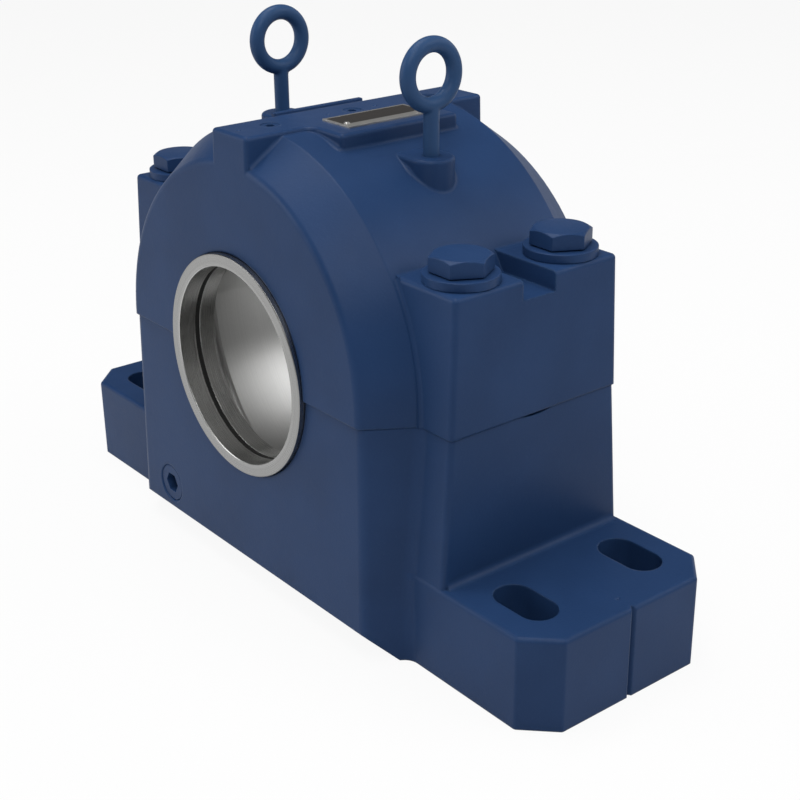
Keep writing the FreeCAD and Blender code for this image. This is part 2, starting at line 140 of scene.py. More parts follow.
# Floor
FLOOR_HALF = 9.0
FLOOR_DROP = 0.0003

# Lamps: name, degrees round from +X, degrees up, side in metres, watts
LAMP_AIM = Vector((0.0, 0.0, 0.18))
LAMP_DISTANCE = 2.2
LAMPS = (
    ("lamp_over", 190.0, 80.0, 1.4, 31.0),
    ("lamp_left", 232.0, 20.0, 1.2, 15.0),
    ("lamp_right", 38.0, 36.0, 1.4, 16.0),
    ("lamp_front", 318.0, 50.0, 1.3, 20.0),
    ("lamp_back", 85.0, 25.0, 1.2, 5.0),
)


# Materials


class Level:
    """A number that varies over a surface. Python arithmetic on it adds Math nodes."""

    def __init__(self, nodes, socket):
        self.nodes = nodes
        self.socket = socket

    def math(self, operation, first, second):
        return self.nodes.add("ShaderNodeMath", {"operation": operation}, {0: first, 1: second})

    def __add__(self, other):
        return self.math("ADD", self, other)

    def __radd__(self, other):
        return self.math("ADD", other, self)

    def __sub__(self, other):
        return self.math("SUBTRACT", self, other)

    def __rsub__(self, other):
        return self.math("SUBTRACT", other, self)

    def __mul__(self, other):
        return self.math("MULTIPLY", self, other)

    def __rmul__(self, other):
        return self.math("MULTIPLY", other, self)

    def __pow__(self, other):
        return self.math("POWER", self, other)

    def size(self):
        return self.math("ABSOLUTE", self, 0.0)

    def above(self, limit):
        return self.math("GREATER_THAN", self, limit)

    def below(self, limit):
        return self.math("LESS_THAN", self, limit)

    def ramp(self, low, high):
        """0 at low, 1 at high, and eased between them."""
        settings = {"interpolation_type": "SMOOTHSTEP"}
        sockets = {"Value": self, "From Min": low, "From Max": high}
        return self.nodes.add("ShaderNodeMapRange", settings, sockets)


class Nodes:
    """A node tree, cleared, that Python adds to."""

    def __init__(self, tree):
        self.tree = tree
        tree.nodes.clear()

    def feed(self, socket, value):
        if isinstance(value, Level):
            self.tree.links.new(value.socket, socket)
        elif socket.type == "RGBA" and len(value) == 3:
            socket.default_value = (*value, 1.0)
        else:
            socket.default_value = value

    def add(self, kind, settings=None, sockets=None, output=0):
        """Any node: its type, its settings, then the values or links of its sockets."""
        node = self.tree.nodes.new(kind)
        for name, value in (settings or {}).items():
            setattr(node, name, value)
        for name, value in (sockets or {}).items():
            self.feed(node.inputs[name], value)
        return None if output is None else Level(self, node.outputs[output])

    def axes(self, vector):
        """The X, Y and Z of a vector."""
        node = self.tree.nodes.new("ShaderNodeSeparateXYZ")
        self.tree.links.new(vector.socket, node.inputs[0])
        return [Level(self, socket) for socket in node.outputs]

    def ray(self, kind):
        """1 for a ray of this kind, and 0 for others."""
        return self.add("ShaderNodeLightPath", output=f"Is {kind} Ray")


class Finish(Nodes):
    """One material: a Principled shader, and the nodes that feed it."""

    def __init__(self, name, **fixed):
        self.material = bpy.data.materials.new(name)
        self.material.use_nodes = True
        super().__init__(self.material.node_tree)
        self.shader = self.tree.nodes.new("ShaderNodeBsdfPrincipled")
        output = self.tree.nodes.new("ShaderNodeOutputMaterial")
        self.tree.links.new(self.shader.outputs[0], output.inputs["Surface"])
        for name, value in fixed.items():
            self.feed(self.shader.inputs[name.replace("_", " ")], value)
        self.place = self.add("ShaderNodeTexCoord", output="Object")

    def noise(self, scale, detail=2.0, roughness=0.5, vector=None):
        """Cloudy pattern from 0 to 1. scale is how many patches it has to a metre."""
        sockets = {"Vector": vector or self.place, "Scale": scale, "Detail": detail, "Roughness": roughness}
        return self.add("ShaderNodeTexNoise", None, sockets)

    def shaft_radius(self):
        """Distance from the shaft line, and the place along it."""
        x, y, z = self.axes(self.place)
        height = z - SHAFT_HEIGHT
        return (x * x + height * height) ** 0.5, y

    def blend(self, share, first, second):
        """Colour between first and second by share."""
        node = self.tree.nodes.new("ShaderNodeMix")
        node.data_type = "RGBA"
        self.feed(node.inputs[0], share)
        self.feed(node.inputs[6], first)
        self.feed(node.inputs[7], second)
        return Level(self, node.outputs[2])

    def round_shaft(self, radius, along):
        """Place that is the same all round the shaft line, for lines that run round it."""
        return self.add("ShaderNodeCombineXYZ", None, {0: radius, 1: along, 2: 0.0})

    def relief(self, height, depth, normal=None):
        """Surface normal of a height from 0 to 1 that stands depth metres."""
        sockets = {"Strength": 1.0, "Distance": depth, "Height": height}
        if normal is not None:
            sockets["Normal"] = normal
        return self.add("ShaderNodeBump", None, sockets)

    def soft_edges(self, radius):
        """Surface normal with every edge of the piece rounded to radius."""
        return self.add("ShaderNodeBevel", {"samples": 6}, {"Radius": radius})

    def set(self, **varied):
        """Feeds the shader's sockets, and gives back the finished material."""
        for name, value in varied.items():
            self.feed(self.shader.inputs[name.replace("_", " ")], value)
        return self.material


def paint_layer(finish, settings, edge_radius, painted_sheen=0.0):
    """Colour, roughness and normal of sprayed paint, with a painted highlight in a lighter colour along
    every edge the bevel rounds, convex or concave.
    """
    broad = finish.noise(14.0, 3.0)
    cloud = finish.noise(95.0, 4.0, 0.6)
    grain = finish.noise(1.0 / settings.grain_size, 3.0, 0.65)
    peel = finish.noise(0.35 / settings.grain_size, 2.0)
    shade = finish.blend(broad.ramp(0.3, 0.7), settings.colour_deep, settings.colour)
    # Grain tops take the lighter colour as real tone; the share added on top lightens the whole piece as a
    # painted sheen
    flecks_and_sheen = grain.ramp(0.5, 0.85) * FLECK_SHARE + painted_sheen
    shade = finish.blend(flecks_and_sheen, shade, settings.colour_light)
    roughness = settings.roughness + cloud * 0.12
    height = grain * 0.6 + peel * 0.4
    if edge_radius == 0:
        return shade, roughness, finish.relief(height, settings.grain_height)
    edges = finish.soft_edges(edge_radius)
    flat = finish.add("ShaderNodeNewGeometry", output="Normal")
    level = finish.add("ShaderNodeVectorMath", {"operation": "DOT_PRODUCT"}, {0: edges, 1: flat}, "Value")
    # Painted highlight: where the bevelled normal turns away from the flat one, convex or concave, the
    # paint takes the lighter colour, broken up by cloud
    edge_highlight = (1 - level).ramp(0.01, 0.22) * cloud.ramp(0.35, 0.75)
    shade = finish.blend(edge_highlight * EDGE_HIGHLIGHT_SHARE, shade, settings.colour_light)
    normal = finish.relief(height, settings.grain_height, edges)
    return shade, roughness - edge_highlight * 0.08, normal


def casting_finish(settings):
    """Navy paint outside, bare turned iron inside the bearing chamber and under the base."""
    finish = Finish("casting_paint", Specular_IOR_Level=settings.gloss)
    shade, roughness, normal = paint_layer(finish, settings, settings.edge_radius)
    radius, along = finish.shaft_radius()
    chamber = radius.below(CHAMBER_RADIUS) * along.size().below(CHAMBER_HALF)
    underside = finish.axes(finish.place)[2].below(UNDERSIDE)
    bare = chamber + underside - chamber * underside
    turned = finish.noise(2600.0, vector=finish.round_shaft(radius, along))
    iron = finish.blend(turned.ramp(0.2, 0.8), IRON_DARK, IRON_LIGHT)
    turned_normal = finish.relief(turned, IRON_LINE_DEPTH)
    mixed_normal = finish.add(
        "ShaderNodeMix",
        {"data_type": "VECTOR"},
        {0: bare, 4: normal, 5: turned_normal},
        1,
    )
    return finish.set(
        Base_Color=finish.blend(bare, shade, iron),
        Metallic=bare,
        Roughness=bare * IRON_ROUGHNESS + (1 - bare) * roughness,
        Normal=mixed_normal,
    )


def painted_finish(name, settings, edge_radius, painted_sheen=0.0):
    """Paint of a smaller piece, lightened all over by a painted sheen from 0 to 1."""
    finish = Finish(name, Specular_IOR_Level=settings.gloss)
    shade, roughness, normal = paint_layer(finish, settings, edge_radius, painted_sheen)
    return finish.set(Base_Color=shade, Roughness=roughness, Normal=normal)


def ring_finish(settings):
    """Turned steel: fine lines round the shaft on every face of the ring."""
    finish = Finish("turned_steel", Metallic=1.0)
    radius, along = finish.shaft_radius()
    lines = finish.round_shaft(radius, along)
    fine = finish.noise(1.0 / settings.line_pitch, vector=lines)
    bands = finish.noise(260.0, vector=lines)
    cloud = finish.noise(30.0, 3.0)
    tint = finish.blend(bands.ramp(0.3, 0.7), settings.colour_dark, settings.colour)
    tint = finish.blend(radius.below(settings.bore_radius), tint, settings.bore_colour)
    roughness = settings.roughness + fine * 0.08 + cloud * 0.06
    normal = finish.relief(fine, settings.line_depth, finish.soft_edges(FINE_EDGE))
    return finish.set(Base_Color=tint, Roughness=roughness, Normal=normal)


def cord_finish(settings):
    """Dull black rubber with a fine grain."""
    finish = Finish("cord_rubber", Specular_IOR_Level=0.3)
    grain = finish.noise(1800.0, 3.0, 0.6)
    deep = (0.008, 0.008, 0.008)
    shade = finish.blend(grain, settings.cord_colour, deep)
    normal = finish.relief(grain, 0.00008, finish.soft_edges(FINE_EDGE))
    return finish.set(Base_Color=shade, Roughness=0.62 + grain * 0.15, Normal=normal)


def plain_metal_finish(name, colour, roughness):
    """Bare metal of a pin or a rivet, with a fine grain."""
    finish = Finish(name, Metallic=1.0)
    grain = finish.noise(900.0, 3.0, 0.6)
    shade = finish.blend(grain.ramp(0.3, 0.8), colour, [channel * 0.7 for channel in colour])
    normal = finish.relief(grain, 0.00002, finish.soft_edges(SHARP_EDGE))
    return finish.set(Base_Color=shade, Roughness=roughness + grain * 0.12, Normal=normal)


def plate_finish(settings):
    """Black field inside a bright edge, with a bright strip along one side. It is left blank."""
    finish = Finish("plate_print")
    x, y, z = finish.axes(finish.place)
    half_wide = (PLATE_HIGH[0] - PLATE_LOW[0]) / 2
    half_long = (PLATE_HIGH[1] - PLATE_LOW[1]) / 2
    across = (x - PLATE_MIDDLE[0]).size()
    along = (y - PLATE_MIDDLE[1]).size()
    rim = settings.rim
    line = settings.line

    def panel(wide, long):
        return across.below(wide) * along.below(long)

    outer = panel(half_wide - rim, half_long - rim)
    inner = panel(half_wide - rim - line, half_long - rim - line)
    border = outer - inner
    strip = inner * (x - PLATE_MIDDLE[0]).above(half_wide - rim - line - settings.strip)
    printed_skin = 0.0001
    side = z.below(PLATE_HIGH[2] - printed_skin)
    bright = border + strip + (1 - outer) + side
    stretched = {"Vector": finish.place, "Scale": (1.0, 0.05, 1.0)}
    scratches = finish.add("ShaderNodeMapping", {"vector_type": "POINT"}, stretched)
    brushed = finish.noise(2500.0, vector=scratches)
    silver = finish.blend(brushed, settings.bright, [channel * 0.6 for channel in settings.bright])
    shade = finish.blend(bright.ramp(0.0, 1.0), settings.field, silver)
    normal = finish.relief(bright + brushed * 0.1, 0.0001, finish.soft_edges(SHARP_EDGE))
    return finish.set(
        Base_Color=shade,
        Metallic=bright.ramp(0.0, 1.0) * 0.85,
        Roughness=0.34 + brushed * 0.15,
        Normal=normal,
    )


# Shapes


def new_piece(name, mesh):
    """Object of a mesh, at the origin."""
    piece = bpy.data.objects.new(name, mesh)
    bpy.context.scene.collection.objects.link(piece)
    return piece


def fixed_to_housing(piece, slot, *nodes):
    """Puts a finished piece on the housing, in place of the CAD nodes it stands for."""
    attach(piece, "housing")
    if nodes:
        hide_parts(*nodes)


def dress(node, material):
    """Gives a CAD node its finish."""
    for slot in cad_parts[node].material_slots:
        slot.material = material


def lathe(rings, steps, reach):
    """Closed mesh of rings (radius, height) about Z. reach(angle, radius, height) moves a point."""
    shape = bmesh.new()
    loops = []
    for radius, height in rings:
        loop = []
        for step in range(steps):
            angle = 2 * math.pi * step / steps
            out, up = reach(angle, radius, height)
            loop.append(shape.verts.new((out * math.cos(angle), out * math.sin(angle), up)))
        loops.append(loop)
    for lower, upper in zip(loops, loops[1:]):
        for step in range(steps):
            after = (step + 1) % steps
            shape.faces.new((lower[step], lower[after], upper[after], upper[step]))
    shape.faces.new(loops[-1])
    shape.faces.new(list(reversed(loops[0])))
    return shape


def as_mesh(name, shape):
    """Mesh of a shape, smooth but for edges that turn more than 35 degrees."""
    bmesh.ops.recalc_face_normals(shape, faces=shape.faces)
    mesh = bpy.data.meshes.new(name)
    shape.to_mesh(mesh)
    shape.free()
    mesh.shade_smooth()
    mesh.set_sharp_from_angle(angle=math.radians(35.0))
    return mesh


def crown_at(x, y):
    """Height of the barrel or its cones over a place."""
    radius = CROWN_RADIUS - max(0.0, abs(y) - BARREL_HALF) * CONE_SLOPE
    return SHAFT_HEIGHT + math.sqrt(max(radius * radius - x * x, 0.0))


def arc_points(middle, radius, start, end, steps):
    """Points (across, up) of an arc about middle, angles in radians."""
    points = []
    for step in range(steps + 1):
        angle = start + (end - start) * step / steps
        points.append((middle[0] + radius * math.cos(angle), middle[1] + radius * math.sin(angle)))
    return points


def wall_valley(x, y, out_x, out_y, radius, steps=14, buried=0.0004):
    """Closed section of the cast fillet between an upright wall and the barrel under it."""
    step_aside = 0.0002

    def ground(reach):
        return crown_at(x + out_x * reach, y + out_y * reach)

    touch = radius
    for _ in range(4):
        slope = (ground(touch + step_aside) - ground(touch - step_aside)) / (2 * step_aside)
        lean = math.sqrt(1 + slope * slope)
        touch = radius + radius * slope / lean
    top = ground(touch) + radius / lean
    points = arc_points((radius, top), radius, math.pi, 2 * math.pi + math.atan2(-1, slope), steps)
    points += [(touch, ground(touch) - buried), (-buried, ground(0) - buried), (-buried, top)]
    return [Vector((x + out_x * across, y + out_y * across, up)) for across, up in points]


def outline_places(corners, pitch=0.0015):
    """Places (x, y, out_x, out_y) along an open outline of (x, y, radius); outwards is to its left."""
    runs = []
    for index, (x, y, radius) in enumerate(corners):
        here = Vector((x, y))
        if index in (0, len(corners) - 1) or radius == 0:
            runs.append([here])
            continue
        before = (Vector(corners[index - 1][:2]) - here).normalized()
        after = (Vector(corners[index + 1][:2]) - here).normalized()
        half = before.angle(after) / 2
        middle = here + (before + after).normalized() * (radius / math.sin(half))
        first = here + before * (radius / math.tan(half)) - middle
        turn = math.pi - 2 * half
        side = 1 if before.cross(after) < 0 else -1
        steps = max(4, round(turn / math.radians(9)))
        arc = []
        for step in range(steps + 1):
            angle = side * turn * step / steps
            cosine, sine = math.cos(angle), math.sin(angle)
            swung = (first.x * cosine - first.y * sine, first.x * sine + first.y * cosine)
            arc.append(middle + Vector(swung))
        runs.append(arc)
    points = [point for run in runs for point in run]
    dense = []
    for start, end in zip(points, points[1:]):
        count = max(1, round((end - start).length / pitch))
        dense += [start.lerp(end, step / count) for step in range(count)]
    dense.append(points[-1])
    places = []
    for index, point in enumerate(dense):
        along = (dense[min(index + 1, len(dense) - 1)] - dense[max(index - 1, 0)]).normalized()
        places.append((point.x, point.y, -along.y, along.x))
    return places


def swept(shape, sections):
    """Closed strip through sections of as many points each."""
    rows = [[shape.verts.new(point) for point in section] for section in sections]
    count = len(rows[0])
    for lower, upper in zip(rows, rows[1:]):
        for index in range(count):
            after = (index + 1) % count
            shape.faces.new((lower[index], lower[after], upper[after], upper[index]))
    shape.faces.new(rows[0])
    shape.faces.new(list(reversed(rows[-1])))


def settle(piece):
    """Works a piece's modifiers into its mesh, and takes them off."""
    graph = bpy.context.evaluated_depsgraph_get()
    mesh = bpy.data.meshes.new_from_object(piece.evaluated_get(graph), depsgraph=graph)
    piece.modifiers.clear()
    old = piece.data
    piece.data = mesh
    bpy.data.meshes.remove(old)


def round_edges(piece, width):
    """Rounds the edges that turn more than 25 degrees."""
    bevel = piece.modifiers.new("round", "BEVEL")
    bevel.width = width
    bevel.segments = 3
    bevel.limit_method = "ANGLE"
    bevel.angle_limit = math.radians(25.0)


def four_places_tree():
    """Geometry Nodes: the shape it is given, set at the four bolt places and painted."""
    tree = bpy.data.node_groups.new("four_bolt_places", "GeometryNodeTree")
    face = tree.interface
    face.new_socket(name="Shape", in_out="INPUT", socket_type="NodeSocketGeometry")
    sizes = [("Spacing along X", 2 * BOLT_X), ("Spacing along Y", 2 * BOLT_Y), ("Turn", 0.0)]
    for name, value in sizes:
        socket = face.new_socket(name=name, in_out="INPUT", socket_type="NodeSocketFloat")
        socket.default_value = value
    face.new_socket(name="Paint", in_out="INPUT", socket_type="NodeSocketMaterial")
    face.new_socket(name="Set", in_out="OUTPUT", socket_type="NodeSocketGeometry")
    nodes = tree.nodes
    link = tree.links.new
    given = nodes.new("NodeGroupInput")
    grid = nodes.new("GeometryNodeMeshGrid")
    grid.inputs["Vertices X"].default_value = 2
    grid.inputs["Vertices Y"].default_value = 2
    link(given.outputs["Spacing along X"], grid.inputs["Size X"])
    link(given.outputs["Spacing along Y"], grid.inputs["Size Y"])
    turn = nodes.new("ShaderNodeCombineXYZ")
    link(given.outputs["Turn"], turn.inputs["Z"])
    place = nodes.new("GeometryNodeInstanceOnPoints")
    link(grid.outputs["Mesh"], place.inputs["Points"])
    link(given.outputs["Shape"], place.inputs["Instance"])
    link(turn.outputs[0], place.inputs["Rotation"])
    real = nodes.new("GeometryNodeRealizeInstances")
    link(place.outputs[0], real.inputs[0])
    paint = nodes.new("GeometryNodeSetMaterial")
    link(real.outputs[0], paint.inputs["Geometry"])
    link(given.outputs["Paint"], paint.inputs["Material"])
    made = nodes.new("NodeGroupOutput")
    link(paint.outputs[0], made.inputs["Set"])
    return tree


def set_on_pattern(name, mesh, tree, inputs, edge_width, slot, nodes):
    """One piece of four copies of a mesh, placed by a Geometry Nodes tree."""
    piece = new_piece(name, mesh)
    round_edges(piece, edge_width)
    pattern = piece.modifiers.new("pattern", "NODES")
    pattern.node_group = tree
    for item in tree.interface.items_tree:
        if item.item_type == "SOCKET" and item.in_out == "INPUT" and item.name in inputs:
            pattern[item.identifier] = inputs[item.name]
    settle(piece)
    fixed_to_housing(piece, slot, *nodes)


# Settings


class PaintSettings(bpy.types.PropertyGroup):
    colour: FloatVectorProperty(
        name="Colour", description="Paint colour", subtype="COLOR", size=3, default=(0.0175, 0.0465, 0.128)
    )
    colour_deep: FloatVectorProperty(
        name="Deep colour", description="Paint where it lies thick",
        subtype="COLOR", size=3, default=(0.0145, 0.0395, 0.110),
    )
    # Lighter paint: real tone on grain tops, and also the painted highlight on edges and the painted sheen
    # on the eye bolts
    colour_light: FloatVectorProperty(
        name="Fleck and highlight colour", description="Paint on edges and grain tops",
        subtype="COLOR", size=3, default=(0.035, 0.085, 0.19),
    )
    roughness: FloatProperty(
        name="Roughness", description="Roughness of the paint",
        default=0.33, min=0.0, max=1.0,
    )
    gloss: FloatProperty(
        name="Gloss", description="Strength of the paint's reflection",
        default=0.12, min=0.0, max=1.0,
    )
    grain_size: FloatProperty(
        name="Grain size", description="Size of the cast grain", default=0.0014, unit="LENGTH"
    )
    grain_height: FloatProperty(
        name="Grain height", description="Height of the cast grain", default=0.00012, unit="LENGTH"
    )
    edge_radius: FloatProperty(
        name="Edge radius", description="Rounding that the castings' edges show",
        default=0.002, unit="LENGTH",
    )


class RingSettings(bpy.types.PropertyGroup):
    colour: FloatVectorProperty(
        name="Colour", description="Steel colour", subtype="COLOR", size=3, default=(0.36, 0.36, 0.355)
    )
    colour_dark: FloatVectorProperty(
        name="Dark colour", description="Steel colour in the darker bands",
        subtype="COLOR", size=3, default=(0.31, 0.31, 0.305),
    )
    bore_colour: FloatVectorProperty(
        name="Bore colour", description="Steel colour in the finer turned bore",
        subtype="COLOR", size=3, default=(0.54, 0.54, 0.53),
    )
    bore_radius: FloatProperty(
        name="Bore radius", description="How far out the finer turned bore reaches",
        default=0.0704, unit="LENGTH",
    )
    roughness: FloatProperty(
        name="Roughness", description="Roughness of the steel",
        default=0.2, min=0.0, max=1.0,
    )
    line_pitch: FloatProperty(
        name="Line pitch", description="Distance between turning lines", default=0.0005, unit="LENGTH"
    )
    line_depth: FloatProperty(
        name="Line depth", description="Depth of the turning lines", default=0.000004, unit="LENGTH"
    )
    cord_colour: FloatVectorProperty(
        name="Cord colour", description="Rubber colour",
        subtype="COLOR", size=3, default=(0.012, 0.012, 0.012),
    )


class BoltSettings(bpy.types.PropertyGroup):
    flats: FloatProperty(
        name="Across flats", description="Width of the hexagon head",
        default=0.036, unit="LENGTH",
    )
    crown_radius: FloatProperty(
        name="Crown radius", description="Radius of the flat on top of the head",
        default=0.0174, unit="LENGTH",
    )
    crown_height: FloatProperty(
        name="Crown height", description="Height of the chamfer at the corners",
        default=0.002, unit="LENGTH",
    )
    seat_radius: FloatProperty(
        name="Seat radius", description="Radius of the washer face under the head",
        default=0.0165, unit="LENGTH",
    )
    seat_height: FloatProperty(
        name="Seat height", description="Height of the washer face", default=0.0008, unit="LENGTH"
    )
    shank_radius: FloatProperty(
        name="Shank radius", description="Radius of the shank",
        default=0.012, unit="LENGTH",
    )
    washer_radius: FloatProperty(
        name="Washer radius", description="Outer radius of the washer", default=0.0243, unit="LENGTH"
    )
    washer_hole: FloatProperty(
        name="Washer hole", description="Radius of the hole in the washer", default=0.0125, unit="LENGTH"
    )
    edge: FloatProperty(
        name="Edge rounding", description="Rounding of painted edges",
        default=0.0006, unit="LENGTH",
    )


class FilletSettings(bpy.types.PropertyGroup):
    beam: FloatProperty(
        name="Beam", description="Fillet under the beam and its ledge",
        default=0.0035, unit="LENGTH",
    )
    rib: FloatProperty(name="Rib", description="Fillet beside the thin rib", default=0.001, unit="LENGTH")
    boss: FloatProperty(
        name="Boss", description="Fillet round the eye bolt bosses",
        default=0.0035, unit="LENGTH",
    )
    lug_top: FloatProperty(
        name="Lug top", description="Fillet between lug top and barrel", default=0.0035, unit="LENGTH"
    )
    lug_side: FloatProperty(
        name="Lug side", description="Fillet between lug side and barrel", default=0.0028, unit="LENGTH"
    )


class PlateSettings(bpy.types.PropertyGroup):
    field: FloatVectorProperty(
        name="Field", description="Dark field", subtype="COLOR", size=3, default=(0.016, 0.013, 0.011)
    )
    bright: FloatVectorProperty(
        name="Bright", description="Bare metal of the rim and lines",
        subtype="COLOR", size=3, default=(0.5, 0.49, 0.47),
    )
    rim: FloatProperty(name="Rim", description="Bare metal outside the line", default=0.0009, unit="LENGTH")
    line: FloatProperty(name="Line", description="Width of the bright line", default=0.0009, unit="LENGTH")
    strip: FloatProperty(
        name="Strip", description="Width of the bright strip",
        default=0.006, unit="LENGTH",
    )


class StageSettings(bpy.types.PropertyGroup):
    floor_colour: FloatVectorProperty(
        name="Floor colour", description="Pale floor", subtype="COLOR", size=3, default=(0.8, 0.8, 0.8)
    )
    floor_white: FloatProperty(
        name="Floor white", description="Share of plain white in the floor as it is seen",
        default=0.92, min=0.0, max=1.0,
    )
    surround: FloatProperty(name="Surround", description="Light from all round", default=0.05, min=0.0)
    mirror: FloatProperty(
        name="Mirror", description="Share of that white that metal and gloss show",
        default=0.55, min=0.0, max=1.0,
    )
    sky: FloatProperty(name="Sky", description="Share of it that the sky shows", default=0.15, min=0.0)
    horizon_low: FloatProperty(
        name="Horizon low", description="Z of the direction where the sky starts to darken",
        default=0.02,
    )
    horizon_high: FloatProperty(
        name="Horizon high", description="Z of the direction where the sky is at its darkest",
        default=0.25,
    )
    lens: FloatProperty(name="Lens", description="Focal length of the camera", default=66.59, unit="CAMERA")


# Operators


class PLUMMER_OT_stage(bpy.types.Operator):
    """Adds the camera, the floor and the lamps"""

    bl_idname = "plummer.stage"
    bl_label = "Stage"

    def execute(self, context):
        settings = context.scene.plummer_stage
        scene = context.scene
        scene.view_settings.view_transform = "Standard"
        self.add_camera(scene, settings)
        self.add_world(scene, settings)
        self.add_floor(scene, settings)
        for name, turn, lift, size, power in LAMPS:
            self.add_lamp(scene, name, math.radians(turn), math.radians(lift), size, power)
        return {"FINISHED"}

    def add_camera(self, scene, settings):
        """Camera that looks at the front and the right end from a little above."""
        flat = math.cos(CAMERA_LIFT)
        back = Vector((math.sin(CAMERA_TURN) * flat, -math.cos(CAMERA_TURN) * flat, math.sin(CAMERA_LIFT)))
        level = Vector((math.cos(CAMERA_TURN), math.sin(CAMERA_TURN), 0.0))
        above = back.cross(level)
        right = math.cos(CAMERA_ROLL) * level + math.sin(CAMERA_ROLL) * above
        upward = -math.sin(CAMERA_ROLL) * level + math.cos(CAMERA_ROLL) * above
        lens = bpy.data.cameras.new("camera")
        lens.lens = settings.lens
        lens.sensor_width = SENSOR_WIDTH
        lens.sensor_fit = "HORIZONTAL"
        lens.clip_start = 0.01
        camera = bpy.data.objects.new("camera", lens)
        scene.collection.objects.link(camera)
        axes = Matrix((right, upward, back)).transposed().to_4x4()
        camera.matrix_world = Matrix.Translation(CAMERA_PLACE) @ axes
        scene.camera = camera

    def add_world(self, scene, settings):
        """White to the eye and near the horizon in metal, and a softer level as light."""
        world = bpy.data.worlds.new("surround")
        world.use_nodes = True
        scene.world = world
        nodes = Nodes(world.node_tree)
        way = nodes.add("ShaderNodeNewGeometry", output="Position")
        high = nodes.axes(way)[2].ramp(settings.horizon_low, settings.horizon_high)
        mirror = nodes.ray("Glossy") * settings.mirror * (1 - high * (1 - settings.sky))
        seen = nodes.ray("Camera") + nodes.ray("Transmission")
        light = (1 - seen - nodes.ray("Glossy")) * settings.surround
        strength = seen + mirror + light
        shader = nodes.add("ShaderNodeBackground", None, {"Color": (1, 1, 1), "Strength": strength})
        nodes.add("ShaderNodeOutputWorld", None, {"Surface": shader}, None)

    def add_floor(self, scene, settings):
        """Pale floor that looks white and keeps the object's shadow."""
        shape = bmesh.new()
        bmesh.ops.create_grid(shape, x_segments=1, y_segments=1, size=FLOOR_HALF)
        bmesh.ops.translate(shape, vec=(0.0, 0.0, -FLOOR_DROP), verts=shape.verts)
        mesh = bpy.data.meshes.new("floor")
        shape.to_mesh(mesh)
        shape.free()
        material = bpy.data.materials.new("floor")
        material.use_nodes = True
        nodes = Nodes(material.node_tree)
        cloth = nodes.add("ShaderNodeBsdfDiffuse", None, {"Color": settings.floor_colour})
        white = nodes.add("ShaderNodeEmission", None, {"Color": (1, 1, 1), "Strength": 1.0})
        seen = nodes.ray("Camera") + nodes.ray("Transmission")
        share = (seen + nodes.ray("Glossy") * settings.mirror) * settings.floor_white
        shader = nodes.add("ShaderNodeMixShader", None, {0: share, 1: cloth, 2: white})
        nodes.add("ShaderNodeOutputMaterial", None, {"Surface": shader}, None)
        mesh.materials.append(material)
        floor = bpy.data.objects.new("floor", mesh)
        scene.collection.objects.link(floor)

    def add_lamp(self, scene, name, turn, lift, size, power):
        """Square lamp that looks at the middle of the housing from so far round and so high."""
        light = bpy.data.lights.new(name, "AREA")
        light.size = size
        light.energy = power
        lamp = bpy.data.objects.new(name, light)
        scene.collection.objects.link(lamp)
        away = Vector((math.cos(turn) * math.cos(lift), math.sin(turn) * math.cos(lift), math.sin(lift)))
        axes = away.to_track_quat("Z", "Y").to_matrix().to_4x4()
        lamp.matrix_world = Matrix.Translation(LAMP_AIM + away * LAMP_DISTANCE) @ axes


class PLUMMER_OT_castings(bpy.types.Operator):
    """Paints the base and the cap, and bares their turned faces"""

    bl_idname = "plummer.castings"
    bl_label = "Castings"

    def execute(self, context):
        material = casting_finish(context.scene.plummer_paint)
        for node in ("housing_base", "housing_cap"):
            dress(node, material)
        return {"FINISHED"}


